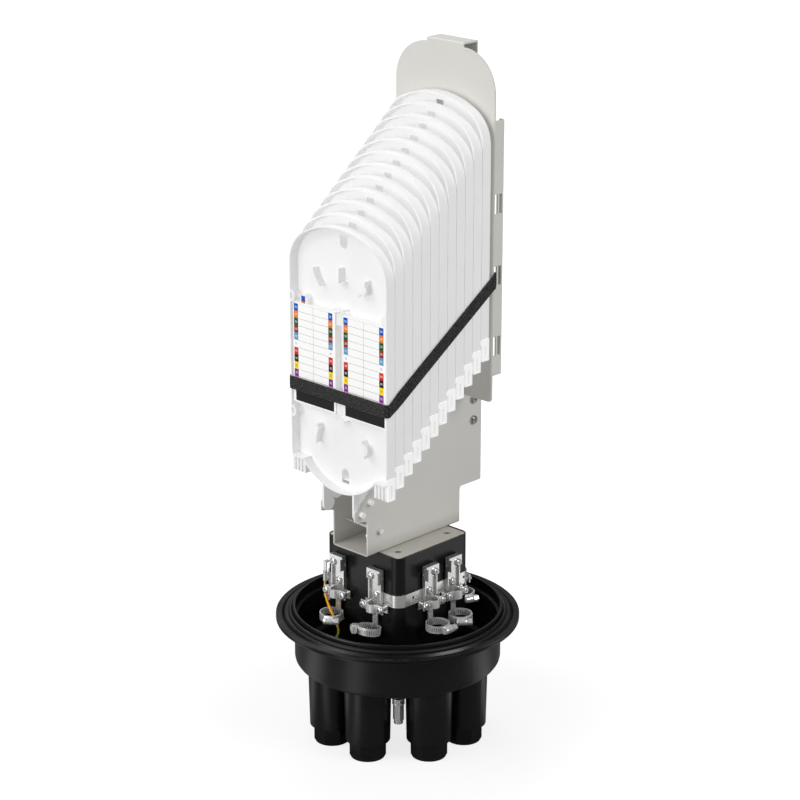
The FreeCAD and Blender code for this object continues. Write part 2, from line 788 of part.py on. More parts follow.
def make_strap():
    side = tray_half + strap_clearance
    front = pivot_y + tray_front - strap_clearance
    slot_y = back_plate_front + slot_offset
    level = slot_level
    rear = slot_y + strap_thickness / 2
    half = strap_width / 2
    tall = half * math.hypot(1, (level - strap_front_level) / (rear - front))
    front_band = block((-side - strap_thickness, front - strap_thickness, strap_front_level - half),
                       (side + strap_thickness, front, strap_front_level + half))
    run = prism([(side, front - strap_thickness, strap_front_level - half), (side, rear, level - tall),
                 (side, rear, level + tall), (side, front - strap_thickness, strap_front_level + half)],
                (strap_thickness, 0, 0))
    rear_band = block((-side - strap_thickness, rear - strap_thickness, level - tall),
                      (side + strap_thickness, rear, level + tall))
    strap = joined([front_band, rear_band] + both_sides(run))
    corners = [e for e in strap.Edges
               if abs(e.BoundBox.XMin) > side + strap_thickness - 0.01 and e.BoundBox.XLength < 1e-6
               and e.BoundBox.YLength < 1e-6 and e.BoundBox.YMax < front]
    return strap.makeFillet(strap_thickness * 0.9, corners)


# cable anchors, modelled on the -Y side of the pedestal and swung round to the others

face_y = -pedestal_half
web_rear = face_y - strip_thickness
web_front = web_rear - anchor_sheet
lug_rear = web_front - lug_stand_off
lug_front = lug_rear - anchor_sheet
yoke_rear = web_front - yoke_stand_off
yoke_front = yoke_rear - anchor_sheet
tongue_rear = web_rear - tongue_jog
tongue_front = tongue_rear - anchor_sheet
anchor_places = [(share * pedestal_half, hand) for share, hand in anchor_shares]
band_centre_y = tongue_rear - math.sqrt(band_bore ** 2 - tongue_half ** 2) + 0.1


def at_anchor(shape, number):
    """Puts a shape that was made for the middle of the -Y side at one of the eight places."""
    across, hand = anchor_places[number]
    side = number // 2
    return swung(moved(shape, across), 360 / side_count * side)


def make_bracket(hand):
    flange_front = web_front - bracket_flange
    web = block((-bracket_half, web_front, bracket_low), (bracket_half, web_rear, bracket_high))
    flange = block((bracket_half - anchor_sheet, flange_front, profile_low), (bracket_half, web_rear, profile_high))
    ledge = block((-bracket_half, flange_front, profile_high - anchor_sheet), (bracket_half, web_rear, profile_high))
    wings = block((-wing_half, web_front, bracket_low), (wing_half, web_rear, profile_low - 0.5))
    neck = block((-tongue_half, tongue_front, bracket_low), (tongue_half, web_rear, bracket_low + anchor_sheet))
    tongue = block((-tongue_half, tongue_front, tongue_low), (tongue_half, tongue_rear, bracket_low + anchor_sheet))
    bracket = joined([web, ledge, wings, neck, tongue] + both_sides(flange))
    holes = [rod(screw_shank_radius, 20, (x, web_rear + 5, z), (0, -1, 0))
             for x, z in ((0, inner_screw_level), (hand * lug_shift, lug_screw_level),
                          (-yoke_screw_offset, yoke_level), (yoke_screw_offset, yoke_level))]
    return bracket.cut(Part.Compound(holes))


def make_lug(hand):
    plate = block((-bracket_half, lug_front, lug_low), (bracket_half, lug_rear, bracket_high))
    top = block((-bracket_half, lug_front, bracket_high - anchor_sheet), (bracket_half, web_front, bracket_high))
    fin = block((bracket_half + 0.8, lug_front - 5, lug_low - 3), (bracket_half + 2.3, lug_rear + 1, bracket_high - 1.5))
    bridge = block((bracket_half - 1, lug_front, lug_low + 4), (bracket_half + 2.3, lug_rear, lug_low + 10))
    lug = joined([plate, top, fin, bridge])
    lug = lug.cut(rod(screw_shank_radius, 12, (-lug_shift, web_rear, lug_screw_level), (0, -1, 0)))
    return lug if hand < 0 else lug.mirror(ORIGIN, Vector(1, 0, 0))


def make_yoke():
    low = yoke_level - yoke_height / 2
    bar = block((-yoke_half, yoke_front, low), (yoke_half, yoke_rear, low + yoke_height))
    shell = rod(saddle_radius, yoke_height, (0, yoke_rear, low))
    shell = shell.common(block((-20, yoke_rear - 20, low), (20, yoke_rear, low + yoke_height)))
    hollow = rod(saddle_radius - anchor_sheet, yoke_height + 2, (0, yoke_rear, low - 1))
    yoke = joined([bar, shell]).cut(hollow)
    holes = [rod(screw_shank_radius, 10, (x, yoke_rear + 3, yoke_level), (0, -1, 0))
             for x in (-yoke_screw_offset, yoke_screw_offset)]
    return yoke.cut(Part.Compound(holes))


def anchor_screws(number):
    hand = anchor_places[number][1]
    outward = (0, -1, 0)
    inner = moved(laid(pan_screw(web_rear - web_front + strip_thickness + 6), outward), 0, web_front, inner_screw_level)
    lug = moved(laid(pan_screw(lug_stand_off + anchor_sheet + 2.2), outward), hand * lug_shift, lug_front,
                lug_screw_level)
    long_screw = laid(pan_screw(web_rear - yoke_front + 0.8), outward)
    yoke = [moved(long_screw, x, yoke_front, yoke_level) for x in (-yoke_screw_offset, yoke_screw_offset)]
    return [at_anchor(screw, number) for screw in [inner, lug] + yoke]


def bonding_strip_path(outset):
    """Closed square path round the pedestal, with the same corner centres as the pedestal."""
    return rounded_square(pedestal_half + outset, pedestal_corner + outset, strip_low, strip_high)


def make_bonding_strip():
    ring = bonding_strip_path(strip_thickness).cut(bonding_strip_path(0.0))
    left = anchor_places[0][0] + bracket_half
    right = anchor_places[1][0] - bracket_half
    opening = block((left, -2 * pedestal_half, strip_low - 1), (right, 0, strip_high + 1))
    strip = ring.cut(opening)
    middle = (strip_low + strip_high) / 2
    spread = pedestal_half - pedestal_corner - 3
    holes = []
    for side in (1, 2, 3):
        for x in (-spread + 8, spread + 3):
            hole = rod(1.7, 2 * pedestal_half, (x, 0, middle + 1), (0, -1, 0))
            holes.append(swung(hole, 90 * side))
    for number in range(len(anchor_places)):
        holes.append(at_anchor(rod(screw_shank_radius, 20, (0, web_rear + 8, inner_screw_level), (0, -1, 0)), number))
    return strip.cut(Part.Compound(holes))


# hose clamps, modelled about their own upright axis with the worm across +Y

band_radius = band_bore + band_thickness
worm_distance = band_radius + housing_radius - 0.6


def make_hose_clamp():
    band = rod(band_radius, band_height, (0, 0, -band_height / 2))
    band = band.cut(rod(band_bore, band_height + 2, (0, 0, -band_height / 2 - 1)))
    tail = rod(band_radius + band_thickness, band_height - 1, (0, 0, 0.5 - band_height / 2))
    tail = tail.cut(rod(band_radius - 0.1, band_height + 2, (0, 0, -band_height / 2 - 1)))
    wedge = prism([(0, 0, -10), (-40, 0, -10), (-40, 40, -10), (0, 40, -10)], (0, 0, 20))
    tail = tail.common(wedge)
    half = housing_length / 2
    top = rod(housing_radius, housing_length, (-half, worm_distance, 0), (1, 0, 0))
    seat = block((-half, band_radius - 1.6, -housing_radius), (half, worm_distance, housing_radius))
    housing = joined([top, seat]).cut(rod(band_radius - 0.05, band_height + 4, (0, 0, -band_height / 2 - 2)))
    clamp = joined([band, tail, housing])
    return clamp.cut(rod(worm_radius + worm_clearance, housing_length + 2, (-half - 1, worm_distance, 0), (1, 0, 0)))


def make_worm_screw():
    half = housing_length / 2
    thread = rod(worm_radius, housing_length, (-half, worm_distance, 0), (1, 0, 0))
    head = laid(regular_prism(6, worm_head_flats, 0, worm_head_length), (-1, 0, 0))
    head = moved(head, -half - worm_clearance, worm_distance, 0)
    neck = rod(worm_radius, 1, (-half - 0.8, worm_distance, 0), (1, 0, 0))
    slot = block((-half - worm_head_length - 2, worm_distance - worm_slot / 2, -8),
                 (-half - worm_head_length + 1.2, worm_distance + worm_slot / 2, 8))
    return joined([thread, neck, head]).cut(slot)


def at_clamp(shape, number):
    """Turns the worm to its own angle, tips the clamp, hangs it on its tongue and takes it to its side."""
    turned_clamp = swung(shape, 180 + housing_angles[number])
    turned_clamp.rotate(ORIGIN, Vector(1, 0, 0), -clamp_tips[number])
    tip = math.radians(clamp_tips[number])
    reach = math.sqrt(band_bore ** 2 - tongue_half ** 2)
    back = reach * (1 - math.cos(tip)) + band_height / 2 * math.sin(tip)
    return at_anchor(moved(turned_clamp, 0, band_centre_y + back, band_level), number)


# earth stud and wire

def stud_place():
    angle = math.radians(stud_angle)
    return stud_circle_radius * math.cos(angle), stud_circle_radius * math.sin(angle)


def make_earth_stud():
    x, y = stud_place()
    shank = rod(stud_radius, stud_high - stud_low, (x, y, stud_low))
    collar = rod(stud_radius + 3, stud_collar_height, (x, y, floor_top))
    end = rod(stud_radius + 1.4, 4.5, (x, y, stud_low - 2.5))
    nut_low = stud_boss_low - washer_thickness - nut_height
    sleeve = moved(regular_prism(6, sleeve_flats, stud_low + 2, nut_low), x, y)
    return joined([shank, collar, end, sleeve])


def make_stud_nuts():
    x, y = stud_place()
    hole = rod(stud_radius, 200, (x, y, 0))
    under = stud_boss_low - washer_thickness
    nut = moved(regular_prism(6, nut_flats, under - nut_height, under), x, y)
    flange = rod(washer_radius - 0.6, 1.8, (x, y, under - nut_height))
    lower = joined([nut, flange]).cut(hole)
    above = floor_top + stud_collar_height + terminal_thickness
    upper = moved(regular_prism(6, nut_flats, above, above + nut_height), x, y).cut(hole)
    return Part.Compound([lower, upper])


def make_stud_washer():
    x, y = stud_place()
    disc = rod(washer_radius, washer_thickness, (x, y, stud_boss_low - washer_thickness))
    return disc.cut(rod(stud_radius, 40, (x, y, stud_boss_low - 20)))


terminal_x = anchor_places[0][0] - wing_half - 2.5


def wire_end():
    """Where the wire stops short of the stud, and the way it points there."""
    x, y = stud_place()
    away = Vector(math.cos(math.radians(wire_arrival)), math.sin(math.radians(wire_arrival)), 0)
    level = floor_top + stud_collar_height + terminal_thickness + wire_radius
    return Vector(x, y, level) + away * terminal_reach, away


def around_bowl(inset, degrees, level):
    """A place beside the wall of the bowl, given by its angle from +X."""
    radius = skirt_radius - bowl_wall - inset
    angle = math.radians(degrees)
    return radius * math.cos(angle), radius * math.sin(angle), level


def wire_points():
    """Down behind the first yoke, through the first clamp, then round the bowl to the stud."""
    end, away = wire_end()
    low = floor_top + wire_radius + 0.1
    ring_x = anchor_places[0][0]
    return [(terminal_x, web_front - 3.0, bracket_low + 19.0),
            (terminal_x, web_front - 3.0, bracket_low + 11.0),
            (terminal_x, web_front - 4.5, bracket_low),
            (ring_x - 8.0, band_centre_y + 3.7, band_level + 6.5),
            (ring_x + 9.0, band_centre_y + 0.2, band_level - 8.5),
            (ring_x + 18.0, band_centre_y - 5.3, band_level - 18.5),
            around_bowl(19.0, -103.9, floor_top + 27.0),
            around_bowl(11.7, -101.8, floor_top + 13.0),
            around_bowl(10.0, -90.0, low),
            around_bowl(7.4, -75.5, low),
            around_bowl(11.8, -59.1, low),
            tuple(end + away * 9.0), tuple(end)]


def make_earth_wire():
    path = rounded_path(wire_points(), wire_bend)
    start = path.Edges[0].valueAt(path.Edges[0].FirstParameter)
    direction = path.Edges[0].tangentAt(path.Edges[0].FirstParameter)
    profile = Part.Wire(Part.makeCircle(wire_radius, start, direction))
    return path.makePipeShell([profile], True, True)


def make_anchor_terminal():
    """Crimp terminal at the first anchor: barrel, blade and a foot bent back to the pedestal."""
    y = web_front - 3.0
    low = bracket_low + 14.0
    high = bracket_low + 38.0
    barrel = rod(wire_radius + 1.2, 12, (terminal_x, y, low))
    barrel = barrel.cut(rod(wire_radius, 6, (terminal_x, y, low - 1)))
    blade = block((terminal_x - 2.5, y - 0.6, low + 11), (terminal_x + 2.5, y + 0.6, high))
    foot = block((terminal_x - 2.5, y - 0.6, high - 1.2), (terminal_x + 2.5, face_y, high))
    return joined([barrel, blade, foot])


def make_stud_terminal():
    """Ring terminal under the upper nut of the earth stud."""
    x, y = stud_place()
    end, away = wire_end()
    ring = rod(stud_radius + 3, terminal_thickness, (x, y, floor_top + stud_collar_height))
    tongue = block((stud_radius + 1, -3.0, 0), (terminal_reach + 1, 3.0, terminal_thickness))
    tongue = moved(swung(tongue, wire_arrival), x, y, floor_top + stud_collar_height)
    barrel = rod(wire_radius + 1.2, 5, end - away * 1.5, away).cut(rod(wire_radius, 10, end, away))
    terminal = joined([ring, tongue, barrel])
    return terminal.cut(rod(stud_radius, 60, (x, y, floor_top - 20)))


# writing the sub-parts

def save(name, shape):
    solids = shape.Solids
    result = solids[0] if len(solids) == 1 else Part.Compound(solids)
    result.exportStep("parts/" + name + ".step")


def main():
    os.makedirs("parts", exist_ok=True)
    save("base_bowl", make_base_bowl())
    save("base_flange", make_base_flange())
    save("cable_ports", make_cable_ports())
    save("flange_seal", make_flange_seal())
    save("pedestal", make_pedestal())
    save("pedestal_plate", make_pedestal_plate())
    save("plate_screws", make_plate_screws())
    save("frame_channel", make_frame_channel())
    save("channel_screws", make_channel_screws())
    save("cross_rod", make_cross_rod())
    save("back_plate", make_back_plate())
    save("frame_screws", make_frame_screws())

    tray = make_tray()
    for number, (y, z) in enumerate(pivot_places()):
        save("tray_%02d" % (number + 1), moved(tray, 0, y, z))
    save("label_card_left", make_card(-1))
    save("label_card_right", make_card(1))
    save("strap", make_strap())

    save("bonding_strip", make_bonding_strip())
    yoke = make_yoke()
    clamp = make_hose_clamp()
    worm = make_worm_screw()
    screws = []
    lugs = []
    yokes = []
    for number, (across, hand) in enumerate(anchor_places):
        save("cable_bracket_%d" % (number + 1), at_anchor(make_bracket(hand), number))
        save("hose_clamp_%d" % (number + 1), at_clamp(clamp, number))
        save("worm_screw_%d" % (number + 1), at_clamp(worm, number))
        lugs.append(at_anchor(make_lug(hand), number))
        yokes.append(at_anchor(yoke, number))
        screws += anchor_screws(number)
    save("lug_plates", Part.Compound(lugs))
    save("cable_yokes", Part.Compound(yokes))
    save("anchor_screws", Part.Compound(screws))

    save("earth_stud", make_earth_stud())
    save("stud_nuts", make_stud_nuts())
    save("stud_washer", make_stud_washer())
    save("earth_terminals", Part.Compound([make_anchor_terminal(), make_stud_terminal()]))
    save("earth_wire", make_earth_wire())


main()
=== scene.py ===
# Dome splice closure: finishes, screws, clamps, strap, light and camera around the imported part
import math

import bmesh
import bpy
from mathutils import Matrix, Vector


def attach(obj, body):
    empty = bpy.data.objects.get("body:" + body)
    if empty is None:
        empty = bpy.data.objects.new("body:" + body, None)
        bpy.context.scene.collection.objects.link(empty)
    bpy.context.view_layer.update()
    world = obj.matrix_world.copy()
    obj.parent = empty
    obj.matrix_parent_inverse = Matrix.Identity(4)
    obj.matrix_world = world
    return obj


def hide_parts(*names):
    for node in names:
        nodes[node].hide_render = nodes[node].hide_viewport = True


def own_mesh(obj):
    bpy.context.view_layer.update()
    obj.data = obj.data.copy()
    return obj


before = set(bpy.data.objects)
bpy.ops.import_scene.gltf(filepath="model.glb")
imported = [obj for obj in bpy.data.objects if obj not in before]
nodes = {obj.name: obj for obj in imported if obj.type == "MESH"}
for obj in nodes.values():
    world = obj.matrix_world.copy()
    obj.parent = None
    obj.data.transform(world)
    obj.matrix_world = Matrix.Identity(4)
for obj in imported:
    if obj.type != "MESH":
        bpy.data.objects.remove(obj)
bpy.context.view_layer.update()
baseBody = "closure_base"
print("frame loaded:", len(nodes), "nodes")


# shader tools

class Wire:
    def __init__(self, tree, socket):
        self.tree = tree
        self.socket = socket

    def calc(self, operation, *values):
        node = self.tree.nodes.new("ShaderNodeMath")
        node.operation = operation
        for slot, value in zip(node.inputs, values):
            feed(self.tree, slot, value)
        return Wire(self.tree, node.outputs[0])

    def apply(self, operation):
        return self.calc(operation, self)

    def __add__(self, other):
        return self.calc("ADD", self, other)

    def __radd__(self, other):
        return self.calc("ADD", other, self)

    def __sub__(self, other):
        return self.calc("SUBTRACT", self, other)

    def __rsub__(self, other):
        return self.calc("SUBTRACT", other, self)

    def __mul__(self, other):
        return self.calc("MULTIPLY", self, other)

    def __rmul__(self, other):
        return self.calc("MULTIPLY", other, self)

    def __truediv__(self, other):
        return self.calc("DIVIDE", self, other)

    def __gt__(self, other):
        return self.calc("GREATER_THAN", self, other)

    def __lt__(self, other):
        return self.calc("LESS_THAN", self, other)

    def __abs__(self):
        return self.apply("ABSOLUTE")


def feed(tree, slot, value):
    if isinstance(value, Wire):
        tree.links.new(value.socket, slot)
    else:
        slot.default_value = value


class Finish:
    def __init__(self, name, **sockets):
        self.material = bpy.data.materials.new(name)
        self.material.use_nodes = True
        self.tree = self.material.node_tree
        self.shader = self.tree.nodes["Principled BSDF"]
        self.set(**sockets)

    def set(self, **sockets):
        for key, value in sockets.items():
            feed(self.tree, self.shader.inputs[key.replace("_", " ")], value)

    def add(self, kind, settings=None, sockets=None, out=0):
        node = self.tree.nodes.new(kind)
        for key, value in (settings or {}).items():
            setattr(node, key, value)
        for key, value in (sockets or {}).items():
            feed(self.tree, node.inputs[key], value)
        return Wire(self.tree, node.outputs[out])

    def place(self, scale=None):
        # the object's own coordinates, in metres
        coords = self.add("ShaderNodeTexCoord", out="Object")
        return self.add("ShaderNodeMapping", {}, {"Vector": coords, "Scale": scale}) if scale else coords

    def along(self):
        # the piece's own UV: u runs along it and v across it
        return self.axes(self.add("ShaderNodeTexCoord", out="UV"))[:2]

    def axes(self, vector):
        split = self.tree.nodes.new("ShaderNodeSeparateXYZ")
        feed(self.tree, split.inputs[0], vector)
        return [Wire(self.tree, output) for output in split.outputs]

    def noise(self, vector, scale, detail=2.0, roughness=0.5):
        return self.add("ShaderNodeTexNoise", {}, {"Vector": vector, "Scale": scale, "Detail": detail,
                                                   "Roughness": roughness})

    def mix(self, share, first, second):
        # sockets 0, 6 and 7 take the share and the two colours
        return self.add("ShaderNodeMix", {"data_type": "RGBA"}, {0: share, 6: first, 7: second}, out=2)

    def remap(self, value, start, end, low, high):
        return self.add("ShaderNodeMapRange", {}, {0: value, 1: start, 2: end, 3: low, 4: high})

    def spread(self, value, low, high):
        # noise lies mostly between 0.3 and 0.7
        return self.remap(value, 0.3, 0.7, low, high)

    def corner(self, settings, most):
        # painted shade: most in a tight corner, none on an open face
        light = self.add("ShaderNodeAmbientOcclusion", {"samples": settings["samples"]},
                         {"Distance": settings["corner"]}, out="AO")
        return self.remap(light, *settings["open"], most, 0.0)

    def bump(self, height, strength, distance):
        return self.add("ShaderNodeBump", {}, {"Height": height, "Strength": strength, "Distance": distance})


def paint(finish, *names):
    for name in names:
        slots = nodes[name].data.materials
        slots.clear()
        slots.append(finish.material)


def eight(name):
    return ["%s_%d" % (name, number) for number in range(1, 9)]


def grey(level):
    return (level, level, level, 1)


def shade(red, green, blue):
    # a printed colour given in 0 to 255
    def linear(value):
        value /= 255
        return value / 12.92 if value < 0.04045 else ((value + 0.055) / 1.055) ** 2.4
    return (linear(red), linear(green), linear(blue), 1)


# finishes of the mouldings and the sheet metal: rough is the range of roughness, relief the strength
# and depth of the bump, and open the stretch from a tight corner to an open face

mouldingBlack = {"colour": (0.0032, 0.0032, 0.0034, 1), "pale": (0.0052, 0.0052, 0.0055, 1), "grain": 1500.0,
                 "patch": 18.0, "rough": (0.24, 0.34), "shine": 0.38, "relief": (0.08, 0.0002)}


def makeMoulded(name, settings):
    finish = Finish(name, Specular_IOR_Level=settings["shine"])
    place = finish.place()
    patch = finish.noise(place, settings["patch"], 3.0)
    grain = finish.noise(place, settings["grain"], 2.0, 0.6)
    finish.set(Base_Color=finish.mix(finish.spread(patch, 0.0, 1.0), settings["colour"], settings["pale"]),
               Roughness=finish.spread(patch, *settings["rough"]),
               Normal=finish.bump(grain, *settings["relief"]))
    return finish


sealRubber = {"colour": (0.003, 0.003, 0.003, 1), "pale": (0.005, 0.005, 0.005, 1), "grain": 900.0,
              "patch": 40.0, "rough": (0.42, 0.55), "shine": 0.38, "relief": (0.08, 0.0002)}

# shaded is the colour of the painted shade that darkens the coat towards the lid, between the two foot levels
powderCoat = {"colour": (0.71, 0.70, 0.66, 1), "pale": (0.745, 0.735, 0.695, 1), "peel": 420.0, "patch": 9.0,
              "shaded": (0.45, 0.435, 0.38, 1), "foot": (0.25, 0.266), "paintedShade": 0.75, "rough": (0.36, 0.5),
              "relief": (0.1, 0.0004)}


def makePowderCoat(name, settings):
    finish = Finish(name, Specular_IOR_Level=0.5)
    place = finish.place()
    patch = finish.noise(place, settings["patch"], 4.0)
    peel = finish.noise(place, settings["peel"], 2.0, 0.55)
    # painted shade: a little darker and warmer low down, towards the lid
    x, y, z = finish.axes(place)
    paintedShade = finish.remap(z, *settings["foot"], settings["paintedShade"], 0.0)
    coat = finish.mix(finish.spread(patch, 0.0, 1.0), settings["colour"], settings["pale"])
    finish.set(Base_Color=finish.mix(paintedShade, coat, settings["shaded"]),
               Roughness=finish.spread(peel, *settings["rough"]),
               Normal=finish.bump(peel, *settings["relief"]))
    return finish


# stack: front of the first tray, pitch and rise from tray to tray; comb: the cheeks of the first tray
# lie beyond this half width and below this level
# crease is the grey of the painted shade in tight creases and window edges, creaseShadeShare how much of it
# at most
trayWhite = {"colour": (0.75, 0.75, 0.75, 1), "pale": (0.79, 0.79, 0.788, 1), "flow": 26.0, "grain": 1300.0,
             "glow": 0.18, "combGlow": 0.36, "comb": (0.0765, 0.3622), "stack": (-0.097, 0.014, 0.0118),
             "rough": (0.3, 0.42), "relief": (0.05, 0.0002), "samples": 8, "corner": 0.002,
             "open": (0.3, 0.75), "creaseShade": grey(0.4), "creaseShadeShare": 0.22}

# two-colour tag on the lug above the left card
trayTag = {"left": -0.0612, "right": -0.0548, "low": 0.54, "split": 0.5425, "high": 0.5492, "front": -0.0929,
           "upper": shade(255, 125, 20), "lower": shade(0, 75, 190)}


def makeTrayWhite(name, settings, tag=None):
    # the glow stands for light that the thin white walls let through, most of all in the comb cheeks
    finish = Finish(name, Specular_IOR_Level=0.5, Emission_Strength=1.0)
    place = finish.place()
    x, y, z = finish.axes(place)
    front, pitch, rise = settings["stack"]
    number = (y - front) / pitch
    level = z - number.apply("FLOOR") * rise
    side, top = settings["comb"]
    inComb = (abs(x) > side) * (level < top)
    flow = finish.noise(place, settings["flow"], 3.0)
    grain = finish.noise(place, settings["grain"], 1.0)
    colour = finish.mix(finish.spread(flow, 0.0, 1.0), settings["colour"], settings["pale"])
    # painted shade: tight creases and the edges of windows are darkened towards grey
    tight = finish.corner(settings, settings["creaseShadeShare"])
    colour = finish.mix(tight, colour, settings["creaseShade"])
    glow = finish.mix(inComb, grey(settings["glow"]), grey(settings["combGlow"]))
    if tag:
        across = (x > tag["left"]) * (x < tag["right"])
        onTag = across * (y < tag["front"]) * (z < tag["high"]) * (z > tag["low"])
        colour = finish.mix(onTag, colour, finish.mix(z > tag["split"], tag["upper"], tag["lower"]))
        glow = finish.mix(onTag, glow, grey(0))
    finish.set(Base_Color=colour, Roughness=finish.spread(flow, *settings["rough"]), Emission_Color=glow,
               Normal=finish.bump(grain, *settings["relief"]))
    return finish


# cornerShade is the near black of the painted shade in tight corners of the steel, zinc and tinned strip
brightSteel = {"colour": (0.78, 0.78, 0.77, 1), "pale": (0.9, 0.9, 0.89, 1), "streak": 700.0, "patch": 60.0,
               "rough": (0.2, 0.32), "relief": (0.03, 0.0001), "samples": 12, "corner": 0.0012,
               "open": (0.25, 0.7), "cornerShade": grey(0.03)}


def makeBrightSteel(name, settings, stretch=(1, 1, 0.08), metallic=0.85):
    # plated steel; painted shade darkens its tight corners
    finish = Finish(name, Metallic=metallic)
    place = finish.place()
    cornerShade = finish.corner(settings, 1.0)
    brushed = finish.noise(finish.place(scale=stretch), settings["streak"], 3.0, 0.6)
    patch = finish.noise(place, settings["patch"], 3.0)
    unshaded = finish.mix(finish.spread(patch, 0.0, 1.0), settings["colour"], settings["pale"])
    finish.set(Base_Color=finish.mix(cornerShade, unshaded, settings["cornerShade"]),
               Roughness=finish.spread(brushed, *settings["rough"]),
               Normal=finish.bump(brushed, *settings["relief"]))
    return finish


black = makeMoulded("mouldingBlack", mouldingBlack)
rubber = makeMoulded("sealRubber", sealRubber)
coated = makePowderCoat("powderCoat", powderCoat)
white = makeTrayWhite("trayWhite", trayWhite)
taggedWhite = makeTrayWhite("trayWhiteTagged", trayWhite, trayTag)
steel = makeBrightSteel("brightSteel", brightSteel)
darkSteel = makeBrightSteel("darkSteel", dict(brightSteel, colour=(0.33, 0.33, 0.32, 1),
                                              pale=(0.5, 0.5, 0.49, 1)))
strip = makeBrightSteel("tinnedStrip", dict(brightSteel, rough=(0.16, 0.3)), (0.1, 0.1, 1))
zinc = makeBrightSteel("zincSteel", dict(brightSteel, rough=(0.24, 0.36), corner=0.0009), metallic=0.6)

paint(black, "base_bowl", "base_flange", "cable_ports", "pedestal")
paint(rubber, "flange_seal")
paint(coated, "frame_channel", "back_plate", "pedestal_plate")
paint(taggedWhite, "tray_01")
paint(white, *["tray_%02d" % number for number in range(2, 13)])
paint(strip, "bonding_strip")
paint(zinc, "cable_yokes", *eight("hose_clamp"), *eight("worm_screw"))
paint(darkSteel, "plate_screws", "frame_screws")
paint(steel, "channel_screws", "cross_rod", "lug_plates", "anchor_screws", "earth_stud", "stud_nuts",
      "stud_washer", "earth_terminals", *eight("cable_bracket"))
print("mouldings and metal finished")


# label cards: ruled rows with coloured end cells and a black foot
# cells: left edges of the two columns; foot: its left, right and lowest edge; figure: half the distance
# between two rings, then half width, half height and stroke of a ring

cardLayout = {"starts": (-0.0745, 0.006), "top": 0.5406, "head": 0.0022, "rowTall": 0.0087, "rows": 12,
              "cells": (0.0014, 0.0575), "cellWide": 0.0068, "line": 0.00055,
              "foot": (0.0034, 0.0658, 0.4222), "paper": shade(248, 248, 247), "ink": shade(130, 132, 135),
              "footInk": shade(20, 20, 20),
              "colours": [(0, 80, 180), (228, 120, 30), (0, 80, 45), (140, 42, 28), (98, 146, 188),
                          (250, 250, 250), (205, 45, 28), (12, 12, 12), (242, 212, 35), (118, 42, 146),
                          (250, 150, 196), (90, 200, 205)],
              "lightRows": (5, 8, 10, 11), "darkFigure": shade(30, 30, 30),
              "lightFigure": shade(240, 240, 240), "figure": (0.00095, 0.0006, 0.0012, 0.00033),
              "figureInk": 0.85, "lineInk": 0.75, "fibre": 2600.0, "relief": (0.05, 0.0001), "rough": 0.5,
              "shine": 0.25, "glow": 0.14}


def rowColour(finish, row, layout, colours):
    # one flat colour for each row
    ramp = finish.add("ShaderNodeValToRGB", {}, {"Fac": (row + 0.5) / layout["rows"]})
    band = ramp.socket.node.color_ramp
    band.interpolation = "CONSTANT"
    while len(band.elements) < len(colours):
        band.elements.new(0.5)
    for number, (element, colour) in enumerate(zip(band.elements, colours)):
        element.position = number / layout["rows"]
        element.color = colour
    return ramp


def makeCardPrint(name, start, layout):
    finish = Finish(name, Roughness=layout["rough"], Specular_IOR_Level=layout["shine"],
                    Emission_Strength=layout["glow"])
    place = finish.place()
    x, y, z = finish.axes(place)
    across = x - start
    down = (layout["top"] - layout["head"] - z) / layout["rowTall"]
    row = down.apply("FLOOR")
    within = down - row
    left, right = layout["cells"]
    cellWide = layout["cellWide"]
    middle = (left + right + cellWide) / 2
    edge = abs(across - middle)
    half = middle - left
    inRows = (down > 0) * (down < layout["rows"])
    inCell = (edge < half) * (edge > (half - cellWide)) * inRows
    colours = [shade(*colour) for colour in layout["colours"]]
    marks = [layout["darkFigure"] if number in layout["lightRows"] else layout["lightFigure"]
             for number in range(layout["rows"])]
    # the figures in each cell are drawn as two small upright rings
    apart, wide, tall, stroke = layout["figure"]
    fromCentre = abs(abs(edge - (half - cellWide / 2)) - apart)
    height = abs(within - 0.5) * layout["rowTall"]
    ring = (fromCentre < wide) * (height < tall) - (fromCentre < (wide - stroke)) * (height < (tall - stroke))
    cell = finish.mix(ring * layout["figureInk"], rowColour(finish, row, layout, colours),
                      rowColour(finish, row, layout, marks))
    line = layout["line"] / 2
    rowLine = (abs(within - 0.5) > (0.5 - line / layout["rowTall"])) * (edge < (half - cellWide))
    middleLine = (edge < line) * inRows
    ruled = rowLine.calc("MAXIMUM", rowLine, middleLine) * layout["lineInk"] * inRows
    paper = finish.mix(ruled, layout["paper"], layout["ink"])
    paper = finish.mix(inCell, paper, cell)
    footLeft, footRight, footLow = layout["foot"]
    inFoot = (across > footLeft) * (across < footRight) * (down > layout["rows"]) * (z > footLow)
    inked = finish.mix(inFoot, paper, layout["footInk"])
    fibre = finish.noise(place, layout["fibre"], 2.0)
    # painted light: the paper and its inks glow a little, so the card reads brighter
    finish.set(Base_Color=inked, Emission_Color=inked, Normal=finish.bump(fibre, *layout["relief"]))
    return finish


for side, start in zip(("Left", "Right"), cardLayout["starts"]):
    paint(makeCardPrint("cardPrint" + side, start, cardLayout), "label_card_" + side.lower())
print("label cards printed")


# helpers for modelled pieces

def clearSelection():
    if bpy.context.object and bpy.context.object.mode != "OBJECT":
        bpy.ops.object.mode_set(mode="OBJECT")
    bpy.ops.object.select_all(action="DESELECT")


def selectOnly(piece):
    clearSelection()
    piece.select_set(True)
    bpy.context.view_layer.objects.active = piece


def freeze():
    # place, turn and size go into the mesh
    bpy.ops.object.transform_apply(location=True, rotation=True, scale=True)
    return bpy.context.object


def finishPiece(piece, finish, body):
    piece.data.materials.clear()
    piece.data.materials.append(finish.material)
    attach(piece, body)


